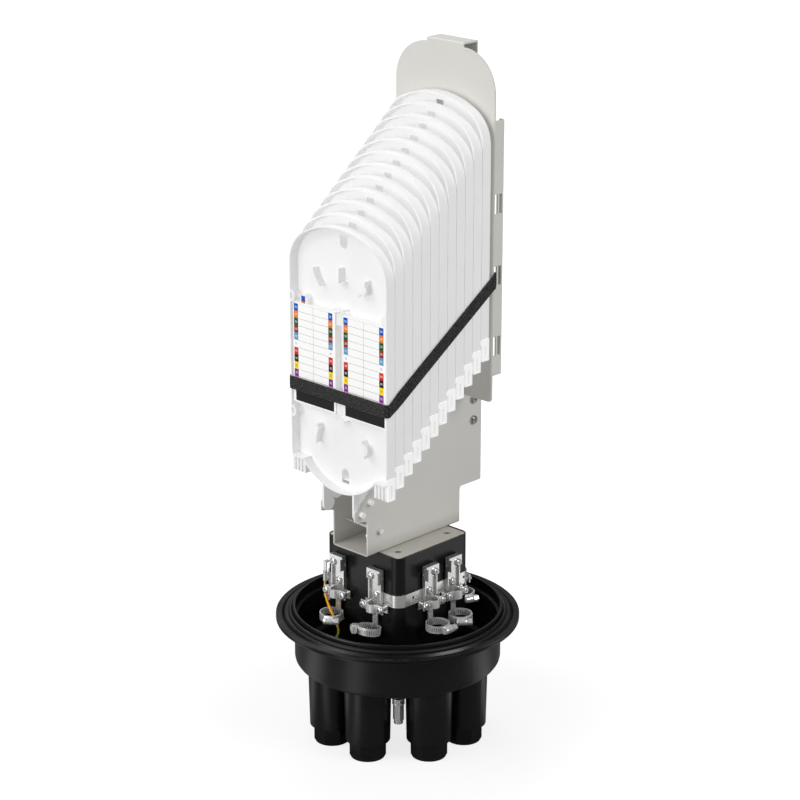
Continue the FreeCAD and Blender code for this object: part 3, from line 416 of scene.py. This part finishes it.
def pick(piece, test, kind="FACE"):
    # leaves piece in edit mode with only the faces or points selected that pass the test
    if piece.mode != "EDIT":
        selectOnly(piece)
        bpy.ops.object.mode_set(mode="EDIT")
    bpy.context.tool_settings.mesh_select_mode = (kind == "VERT", False, kind == "FACE")
    bpy.ops.mesh.select_all(action="DESELECT")
    build = bmesh.from_edit_mesh(piece.data)
    parts = build.faces if kind == "FACE" else build.verts
    for part in parts:
        part.select = test(part)
    build.select_flush(True)
    bmesh.update_edit_mesh(piece.data)


def extrude(x, y, z):
    bpy.ops.mesh.extrude_region_move(TRANSFORM_OT_translate={"value": (x, y, z)})


def applyModifier(piece, kind, **settings):
    selectOnly(piece)
    modifier = piece.modifiers.new(kind.title(), kind)
    for key, value in settings.items():
        setattr(modifier, key, value)
    bpy.ops.object.modifier_apply(modifier=modifier.name)


def settle(piece, angle=35):
    selectOnly(piece)
    freeze()
    bpy.ops.object.shade_smooth_by_angle(angle=math.radians(angle))
    return piece


def joinPieces(pieces, name):
    clearSelection()
    for piece in pieces:
        piece.select_set(True)
    bpy.context.view_layer.objects.active = pieces[0]
    bpy.ops.object.join()
    joined = bpy.context.object
    joined.name = name
    return joined


def copyTo(model, matrix):
    # a copy with its own mesh, which holds its place
    copy = model.copy()
    copy.data = model.data.copy()
    copy.data.transform(matrix)
    bpy.context.collection.objects.link(copy)
    return copy


def discard(piece):
    bpy.data.objects.remove(piece, do_unlink=True)


def turned(degrees, axis):
    return Matrix.Rotation(math.radians(degrees), 4, axis)


# where the anchors stand on two sides of the pedestal, which the other two repeat, each turned to the
# front, and where their screws sit

anchorLayout = {"across": (-0.034, 0.0275, -0.0118, 0.027), "hand": (-1, -1, 1, 1), "webFront": -0.0635,
                "lugFront": -0.069, "yokeFront": -0.0715, "innerLevel": 0.199, "lugLevel": 0.2235,
                "lugShift": 0.0035, "yokeLevel": 0.1855, "yokeOffset": 0.0135,
                "lengths": (0.009, 0.0077, 0.0093)}


def anchorMatrix(number, layout):
    return turned(90 * (number // 2), "Z") @ Matrix.Translation((layout["across"][number % 4], 0, 0))


# screws with cross recesses: over is how far the cutting blade stands out of a head, and dome has the
# rise and the shrink of each step

screwForm = {"head": 0.0047, "top": 0.003, "shank": 0.0024, "arm": 0.0030, "armWide": 0.00115,
             "recess": 0.0018, "over": 0.0008, "taper": (0.55, 0.7, 1), "segments": 40, "rim": 0.45,
             "edge": 0.0004, "dome": ((0.25, 0.93), (0.18, 0.85), (0.12, 0.75)), "turnStep": 53}
lidScrews = {"head": 0.0041, "length": 0.0185, "place": (0.041, 0.041, 0.2496)}
channelScrews = {"length": 0.0075, "place": (0.015, 0.034, 0.252)}
frameScrews = {"head": 0.0053, "top": 0.0034, "length": 0.007, "side": 0.0284, "back": 0.099,
               "levels": (0.400, 0.374)}


def cutCross(screw, form, top):
    # tapered cross recess, cut with two blades
    for turn in (0, 90):
        clearSelection()
        bpy.ops.mesh.primitive_cube_add(size=1, location=(0, 0, top - form["recess"] / 2 + form["over"] / 2))
        blade = bpy.context.object
        blade.dimensions = (form["arm"] * 2, form["armWide"], form["recess"] + form["over"])
        freeze()
        pick(blade, lambda face: face.normal.z < -0.9)
        bpy.ops.transform.resize(value=form["taper"], center_override=(0, 0, 0))
        bpy.ops.object.mode_set(mode="OBJECT")
        blade.data.transform(turned(turn, "Z"))
        applyModifier(screw, "BOOLEAN", operation="DIFFERENCE", object=blade, solver="EXACT")
        discard(blade)


def startHead(form, low, high):
    clearSelection()
    bpy.ops.mesh.primitive_cylinder_add(vertices=form["segments"], radius=form["head"], depth=high - low,
                                        location=(0, 0, (low + high) / 2))
    return freeze()


def modelPanScrew(form, length):
    # the head's flat ring is extruded into a dome, then the shank goes down from its underside
    screw = startHead(form, 0, form["top"] * form["rim"])
    screw.name = "panScrew"
    pick(screw, lambda face: face.normal.z > 0.9)
    for rise, shrink in form["dome"]:
        extrude(0, 0, form["top"] * rise)
        bpy.ops.transform.resize(value=(shrink, shrink, 1))
    pick(screw, lambda face: face.normal.z < -0.9)
    bpy.ops.mesh.inset(thickness=form["head"] - form["shank"])
    extrude(0, 0, -length)
    bpy.ops.object.mode_set(mode="OBJECT")
    cutCross(screw, form, form["top"])
    return settle(screw)


def modelCountersunkScrew(form, length):
    screw = startHead(form, -form["edge"], 0)
    screw.name = "countersunkScrew"
    pick(screw, lambda face: face.normal.z < -0.9)
    drop = form["head"] - form["shank"]
    extrude(0, 0, -drop)
    shrink = form["shank"] / form["head"]
    bpy.ops.transform.resize(value=(shrink, shrink, 1))
    extrude(0, 0, drop - length)
    bpy.ops.object.mode_set(mode="OBJECT")
    cutCross(screw, form, 0)
    return settle(screw)


def screwSet(name, node, models, places, finish=steel):
    # places: (model number, matrix); each head is turned a little differently
    copies = []
    for number, (which, matrix) in enumerate(places):
        copies.append(copyTo(models[which], matrix @ turned(number * screwForm["turnStep"] % 90, "Z")))
    joined = joinPieces(copies, name)
    finishPiece(joined, finish, baseBody)
    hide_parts(node)
    for model in models:
        discard(model)


def makeAnchorScrews(form, layout):
    # the three lengths: into the bracket's web, into its lug plate, and through the yoke's ends
    models = [modelPanScrew(form, length) for length in layout["lengths"]]
    places = []
    for number in range(8):
        base = anchorMatrix(number, layout)
        hand = layout["hand"][number % 4]
        spots = [(0, 0, layout["webFront"], layout["innerLevel"]),
                 (1, hand * layout["lugShift"], layout["lugFront"], layout["lugLevel"]),
                 (2, -layout["yokeOffset"], layout["yokeFront"], layout["yokeLevel"]),
                 (2, layout["yokeOffset"], layout["yokeFront"], layout["yokeLevel"])]
        for which, x, y, z in spots:
            places.append((which, base @ Matrix.Translation((x, y, z)) @ turned(90, "X")))
    screwSet("anchorScrewSet", "anchor_screws", models, places)


def atCorners(place):
    x, y, z = place
    return [(0, Matrix.Translation((x * right, y * back, z))) for right in (-1, 1) for back in (-1, 1)]


def makeFrameScrews(form):
    places = [(0, Matrix.Translation((side * form["side"], form["back"], level)) @ turned(90 * side, "Y"))
              for level in form["levels"] for side in (-1, 1)]
    screwSet("frameScrewSet", "frame_screws", [modelPanScrew(form, form["length"])], places, darkSteel)


makeAnchorScrews(screwForm, anchorLayout)
# the lid's heads sit a little below its face, with a dark ring of shade round each
lidScrew = modelCountersunkScrew({**screwForm, **lidScrews}, lidScrews["length"])
screwSet("lidScrewSet", "plate_screws", [lidScrew], atCorners(lidScrews["place"]), darkSteel)
screwSet("channelScrewSet", "channel_screws", [modelPanScrew(screwForm, channelScrews["length"])],
         atCorners(channelScrews["place"]))
makeFrameScrews({**screwForm, **frameScrews})
print("screws cut and set")


# worm-drive clamps: slotted band, its overlapping tail and the housing
# flares: growth and length of each step at the cover's ends; turns and tips: degrees for each clamp

clampForm = {"bore": 0.0132, "thick": 0.0008, "tall": 0.009, "segments": 108, "slotHalf": 0.0024,
             "slant": 3.0, "centreY": -0.07668, "level": 0.1585, "housing": 0.0125, "cover": 0.0044,
             "wormHole": 0.003, "sink": 0.0006, "middle": 0.5, "mouth": 0.86,
             "flares": ((1.0, 0.16), (0.93, 0.04), (0.93, 0.05)), "mouthDeep": 0.12, "slack": 0.0001,
             "tailLess": 0.001, "seatLong": 0.96, "seatIn": 0.0004, "seatLess": 0.0006, "seatOver": 0.0007,
             "bevel": 0.0007, "tongueHalf": 0.004,
             "turns": (35, -45, 0, -40, -112, 30, 0, -35), "tips": (0, 10, 0, 0, 0, 0, 0, 0)}


def modelBand(form, radius, keep, tall):
    # an open tube cut at two levels; every third face between them goes,
    # and the top is turned to slant the slots
    clearSelection()
    bpy.ops.mesh.primitive_cylinder_add(vertices=form["segments"], radius=radius, depth=tall,
                                        end_fill_type="NOTHING")
    band = bpy.context.object
    pick(band, lambda face: True)
    for level in (-form["slotHalf"], form["slotHalf"]):
        bpy.ops.mesh.select_all(action="SELECT")
        bpy.ops.mesh.bisect(plane_co=(0, 0, level), plane_no=(0, 0, 1))
    step = 2 * math.pi / form["segments"]

    def isSlot(face):
        middle = face.calc_center_median()
        number = round(math.atan2(middle.y, middle.x) / step - 0.5)
        return abs(middle.z) < form["slotHalf"] * 0.5 and number % 3 == 0

    pick(band, lambda face: isSlot(face) or not keep(face.calc_center_median()))
    bpy.ops.mesh.delete(type="FACE")
    pick(band, lambda vert: vert.co.z > 0, "VERT")
    bpy.ops.transform.rotate(value=math.radians(form["slant"]), orient_axis="Z", center_override=(0, 0, 0))
    bpy.ops.object.mode_set(mode="OBJECT")
    applyModifier(band, "SOLIDIFY", thickness=form["thick"], offset=0)
    return band


def modelHousing(form, reach):
    # rolled cover over the worm, open at both ends, on a block that stands on the band
    clearSelection()
    bpy.ops.mesh.primitive_cylinder_add(vertices=36, radius=form["cover"],
                                        depth=form["housing"] * form["middle"],
                                        rotation=(0, math.radians(90), 0), location=(0, reach, 0))
    cover = freeze()
    for side in (-1, 1):
        pick(cover, lambda face: face.normal.x * side > 0.9)
        for grow, push in form["flares"]:
            extrude(side * form["housing"] * push, 0, 0)
            bpy.ops.transform.resize(value=(1, grow, grow), center_override=(0, reach, 0))
        bpy.ops.mesh.inset(thickness=form["cover"] * form["mouth"] - form["wormHole"] - form["slack"])
        extrude(-side * form["housing"] * form["mouthDeep"], 0, 0)
    bpy.ops.object.mode_set(mode="OBJECT")
    clearSelection()
    away = (form["bore"] + form["thick"] + reach) / 2 - form["seatIn"]
    bpy.ops.mesh.primitive_cube_add(size=1, location=(0, away, 0))
    seat = bpy.context.object
    seat.dimensions = (form["housing"] * form["seatLong"], reach - form["bore"] - form["seatLess"],
                       form["cover"] * 2 + form["seatOver"])
    freeze()
    applyModifier(seat, "BEVEL", width=form["bevel"], segments=2)
    return [cover, seat]


def makeClamps(form, layout):
    radius = form["bore"] + form["thick"] / 2
    reach = form["bore"] + form["thick"] + form["cover"] - form["sink"]
    band = modelBand(form, radius, lambda middle: True, form["tall"])
    tail = modelBand(form, radius + form["thick"] + form["slack"], lambda middle: middle.x < 0 < middle.y,
                     form["tall"] - form["tailLess"])
    model = joinPieces([band, tail] + modelHousing(form, reach), "clampModel")
    settle(model)
    # each clamp rests against its tongue, so a tipped one moves back a little
    reachBack = form["bore"] * math.cos(math.asin(form["tongueHalf"] / form["bore"]))
    for number in range(8):
        tip = math.radians(form["tips"][number])
        back = reachBack * (1 - math.cos(tip)) + form["tall"] / 2 * math.sin(tip)
        hang = Matrix.Translation((0, form["centreY"] + back, form["level"]))
        tipped = hang @ turned(-form["tips"][number], "X")
        swing = turned(180 + form["turns"][number], "Z")
        clamp = copyTo(model, anchorMatrix(number, layout) @ tipped @ swing)
        clamp.name = "slottedClamp%d" % (number + 1)
        finishPiece(clamp, zinc, baseBody)
        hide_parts("hose_clamp_%d" % (number + 1))
    discard(model)


makeClamps(clampForm, anchorLayout)
print("worm-drive clamps made")


# strap: a webbing band round the trays and through the back plate's slots

strapCut = {"width": 0.0155, "thickness": 0.0014, "side": 0.0784, "front": -0.0974, "rear": 0.0818,
            "frontLevel": 0.444, "rearLevel": 0.5635, "corner": 0.004, "slotCorner": 0.0016, "across": 8,
            "frontSteps": 30, "cornerSteps": 8, "easeSteps": 3, "sideSteps": 40, "slotSteps": 5,
            "backSteps": 12, "thinEdge": 0.45}
# share is what the weave adds to the specks, and show the stretch over which they appear
webbing = {"dark": (0.002, 0.002, 0.0022, 1), "speck": (0.1, 0.1, 0.102, 1), "rib": 0.0011, "yarn": 1.6,
           "fuzz": 900.0, "share": 0.04, "show": (0.5, 0.62), "rough": (0.55, 0.75), "relief": (0.5, 0.0003),
           "sheen": 0.08, "sheenRough": 0.4, "shine": 0.3}


def sideRoute(cut):
    # the right half from front to rear; each stop has its place, the direction up the webbing and the way out
    tilt = math.atan2(cut["rearLevel"] - cut["frontLevel"], cut["rear"] - cut["front"])
    up = Vector((0, 0, 1))
    steep = up / math.cos(tilt)
    outset = cut["thickness"] / 2
    stops = []
    radius = cut["corner"]
    for step in range(cut["cornerSteps"] + 1):
        turn = math.radians(90 * step / cut["cornerSteps"])
        out = Vector((math.sin(turn), -math.cos(turn), 0))
        centre = Vector((cut["side"] - radius, cut["front"] + radius, cut["frontLevel"]))
        stops.append((centre + out * (radius + outset), up, out))
    first = cut["front"] + radius
    last = cut["rear"] - cut["thickness"] - cut["slotCorner"]
    for step in range(1, cut["sideSteps"] + 1):
        y = first + (last - first) * step / cut["sideSteps"]
        place = Vector((cut["side"] + outset, y, cut["frontLevel"] + (y - first) * math.tan(tilt)))
        stops.append((place, up.lerp(steep, min(1.0, step / cut["easeSteps"])), Vector((1, 0, 0))))
    radius = cut["slotCorner"]
    level = stops[-1][0].z
    for step in range(1, cut["slotSteps"] + 1):
        turn = math.radians(90 * step / cut["slotSteps"])
        out = Vector((math.cos(turn), math.sin(turn), 0))
        centre = Vector((cut["side"] - radius, last, level))
        stops.append((centre + out * (radius + outset), steep, out))
    return stops


def strapRoute(cut):
    right = sideRoute(cut)
    left = [(Vector((-p.x, p.y, p.z)), up, Vector((-out.x, out.y, out.z))) for p, up, out in reversed(right)]
    flat = cut["side"] - cut["corner"]
    front = []
    for step in range(1, cut["frontSteps"]):
        place = Vector((-flat + 2 * flat * step / cut["frontSteps"], cut["front"] - cut["thickness"] / 2,
                        cut["frontLevel"]))
        front.append((place, Vector((0, 0, 1)), Vector((0, -1, 0))))
    end, steep, out = right[-1]
    back = []
    for step in range(1, cut["backSteps"]):
        place = Vector((end.x * (1 - 2 * step / cut["backSteps"]), end.y, end.z))
        back.append((place, steep, Vector((0, 1, 0))))
    return front + right + back + left


def makeStrap(cut):
    # the outline of the webbing, thinner at its edges, is carried round the route
    stops = strapRoute(cut)
    across = cut["across"]
    shares = [step / across * 2 - 1 for step in range(across + 1)]
    outline = [(share, 1) for share in shares] + [(share, -1) for share in reversed(shares)]
    mesh = bpy.data.meshes.new("strapWebbing")
    build = bmesh.new()
    uv = build.loops.layers.uv.new("along")
    rings = []
    for place, up, out in stops:
        ring = []
        for share, face in outline:
            crown = cut["thickness"] / 2 * (1 - cut["thinEdge"] * abs(share) ** 6)
            ring.append(build.verts.new(place + up * (share * cut["width"] / 2) + out * (face * crown)))
        rings.append(ring)
    lengths = [0.0]
    for here, there in zip(stops, stops[1:] + stops[:1]):
        lengths.append(lengths[-1] + (there[0] - here[0]).length)
    count = len(outline)
    for index, ring in enumerate(rings):
        following = rings[(index + 1) % len(rings)]
        for side in range(count):
            after = (side + 1) % count
            face = build.faces.new([ring[side], following[side], following[after], ring[after]])
            face.smooth = True
            start, end = lengths[index], lengths[index + 1]
            spots = [(start, side), (end, side), (end, side + 1), (start, side + 1)]
            for loop, (u, v) in zip(face.loops, spots):
                loop[uv].uv = (u, v / across * cut["width"])
    bmesh.ops.recalc_face_normals(build, faces=build.faces)
    build.to_mesh(mesh)
    build.free()
    piece = bpy.data.objects.new("strapWebbing", mesh)
    bpy.context.collection.objects.link(piece)
    return piece


def makeWebbing(name, settings):
    finish = Finish(name, Sheen_Weight=settings["sheen"], Sheen_Roughness=settings["sheenRough"],
                    Specular_IOR_Level=settings["shine"])
    u, v = finish.along()
    ribs = (u * (2 * math.pi / settings["rib"])).apply("SINE")
    yarns = (v * (2 * math.pi / (settings["rib"] * settings["yarn"]))).apply("SINE")
    weave = ribs * yarns
    fuzz = finish.noise(finish.place(), settings["fuzz"], 3.0, 0.7)
    speck = finish.remap(weave * settings["share"] + fuzz, *settings["show"], 0.0, 1.0)
    finish.set(Base_Color=finish.mix(speck, settings["dark"], settings["speck"]),
               Roughness=finish.spread(fuzz, *settings["rough"]),
               Normal=finish.bump(weave * 0.5 + fuzz * 0.3, *settings["relief"]))
    return finish


strapPiece = makeStrap(strapCut)
finishPiece(strapPiece, makeWebbing("blackWebbing", webbing), baseBody)
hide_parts("strap")
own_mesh(strapPiece)
print("strap laid round the trays")


# earth wire: a green and yellow lead from the first anchor down to the stud

earthRoute = {"radius": 0.0015, "yellow": shade(250, 175, 20), "green": shade(20, 120, 70), "stripe": 0.16,
              "windings": 2.0, "scuff": 260.0, "rough": (0.32, 0.45), "relief": (0.1, 0.0002),
              "points": [(-0.0545, -0.0665, 0.199), (-0.0545, -0.0665, 0.191), (-0.0545, -0.068, 0.18),
                         (-0.042, -0.073, 0.165), (-0.025, -0.0765, 0.15), (-0.016, -0.082, 0.14),
                         (-0.024, -0.0971, 0.122), (-0.0219, -0.105, 0.108), (0.0, -0.109, 0.0966),
                         (0.0279, -0.108, 0.0966), (0.0551, -0.092, 0.0966), (0.0595, -0.0832, 0.1009),
                         (0.0614, -0.0744, 0.1009)]}


def makeEarthWire(route):
    line = bpy.data.curves.new("earthWire", "CURVE")
    line.dimensions = "3D"
    line.bevel_depth = route["radius"]
    line.bevel_resolution = 6
    line.use_fill_caps = True
    spline = line.splines.new("NURBS")
    spline.points.add(len(route["points"]) - 1)
    for point, place in zip(spline.points, route["points"]):
        point.co = place + (1,)
    spline.order_u = 3
    spline.use_endpoint_u = True
    spline.resolution_u = 16
    wire = bpy.data.objects.new("earthWire", line)
    bpy.context.collection.objects.link(wire)
    return wire, spline.calc_length()


def makeWireSleeve(name, route):
    # yellow sleeve with a green stripe that winds round it
    finish = Finish(name)
    u, v = finish.along()
    stripe = abs((v + u * route["windings"]).apply("FRACT") - 0.5) < route["stripe"]
    scuff = finish.noise(finish.place(), route["scuff"], 3.0)
    finish.set(Base_Color=finish.mix(stripe, route["yellow"], route["green"]),
               Roughness=finish.spread(scuff, *route["rough"]), Normal=finish.bump(scuff, *route["relief"]))
    return finish


earthWire, earthLength = makeEarthWire(earthRoute)
finishPiece(earthWire, makeWireSleeve("earthSleeve", earthRoute), baseBody)
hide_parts("earth_wire")
2 * earthRoute["radius"]
print("earth wire laid,", round(earthLength, 4), "m")


# camera, lamps and floor

cameraSetup = {"place": (1.92325, -1.96668, 1.35599), "aim": (0.0021, 0.0020, 0.4158), "lens": 112.9,
               "sensor": 36, "clipEnd": 50}


def stand(name, data, place, aim):
    holder = bpy.data.objects.new(name, data)
    bpy.context.collection.objects.link(holder)
    holder.location = place
    holder.rotation_euler = (Vector(aim) - Vector(place)).to_track_quat("-Z", "Y").to_euler()
    return holder


def makeCamera(setup):
    camera = bpy.data.cameras.new("photoCamera")
    camera.lens = setup["lens"]
    camera.sensor_width = setup["sensor"]
    camera.clip_end = setup["clipEnd"]
    bpy.context.scene.camera = stand("photoCamera", camera, setup["place"], setup["aim"])


def makeLamp(name, setup):
    lamp = bpy.data.lights.new(name, "AREA")
    lamp.shape = "RECTANGLE"
    lamp.size, lamp.size_y = setup["size"]
    lamp.energy = setup["power"]
    stand(name, lamp, setup["place"], lampAim)


lampAim = (0, 0, 0.4)  # middle of the closure
lampSetup = {
    "overLeft": {"place": (-1.2, -2.2, 2.6), "size": (1.8, 1.8), "power": 34},
    "frontFill": {"place": (-0.3, -3.2, 0.9), "size": (1.6, 1.2), "power": 39},
    "overRight": {"place": (2.6, 0.5, 2.0), "size": (1.4, 1.4), "power": 38},
    "behindLeft": {"place": (-1.9, 1.2, 2.6), "size": (1.4, 1.4), "power": 26},
}
# cards: angle round the base, half width in degrees and strength
studioSetup = {"floor": 0.22, "floorSize": 14, "gap": 0.0002, "floorGlow": 0.8, "farGlow": 1.0, "near": 0.2,
               "reach": 0.75, "world": 0.4, "mirrored": 0.12, "cardFade": (0.12, 0.26),
               "cards": ((-86, 16, 1.1), (-134, 22, 0.8), (45.6, 22, 0.8))}


def makeFloor(setup):
    # to the camera the floor glows white, so that only its soft contact shade shows;
    # in mirrored light it has a few bright cards, each at its own angle round the base
    clearSelection()
    bpy.ops.mesh.primitive_plane_add(size=setup["floorSize"], location=(0, 0, -setup["gap"]))
    floor = bpy.context.object
    floor.name = "studioFloor"
    finish = Finish("floorWhite", Roughness=0.9, Specular_IOR_Level=0.0, Emission_Strength=1.0)
    x, y, z = finish.axes(finish.place())
    away = (x * x + y * y).apply("SQRT")
    far = finish.remap(away, setup["near"], setup["reach"], setup["floorGlow"], setup["farGlow"])
    angle = y.calc("ARCTAN2", y, x)
    cards = 0.0
    for centre, half, strength in setup["cards"]:
        card = finish.remap(abs(angle - math.radians(centre)), 0.0, math.radians(half), strength, 0.0)
        card.socket.node.interpolation_type = "SMOOTHSTEP"
        cards = cards + card
    cards = cards * finish.remap(away, *setup["cardFade"], 0.0, 1.0)
    seen = finish.add("ShaderNodeLightPath", out="Is Camera Ray")
    mirrored = finish.add("ShaderNodeLightPath", out="Is Glossy Ray")
    level = seen * far + mirrored * cards
    lit = finish.add("ShaderNodeVectorMath", {"operation": "SCALE"}, {0: (1, 1, 1), "Scale": level})
    finish.set(Base_Color=grey(setup["floor"]), Emission_Color=lit)
    floor.data.materials.append(finish.material)


def makeStudio(lamps, setup):
    for name, lamp in lamps.items():
        makeLamp(name, lamp)
    # mirrored rays see a dimmer world, so that the black mouldings keep their depth
    world = bpy.data.worlds.new("studioWorld")
    bpy.context.scene.world = world
    world.use_nodes = True
    tree = world.node_tree
    back = tree.nodes["Background"]
    path = tree.nodes.new("ShaderNodeLightPath")
    seen = Wire(tree, path.outputs["Is Camera Ray"])
    glossy = Wire(tree, path.outputs["Is Glossy Ray"])
    through = Wire(tree, path.outputs["Is Transmission Ray"])
    shown = seen.calc("MAXIMUM", seen, through)
    back.inputs["Color"].default_value = (1, 1, 1, 1)
    dim = setup["world"] + glossy * (setup["mirrored"] - setup["world"])
    feed(tree, back.inputs["Strength"], dim.calc("MAXIMUM", dim, shown))


makeCamera(cameraSetup)
makeStudio(lampSetup, studioSetup)
makeFloor(studioSetup)
bpy.context.scene.view_settings.view_transform = "Standard"
print("camera and studio ready")
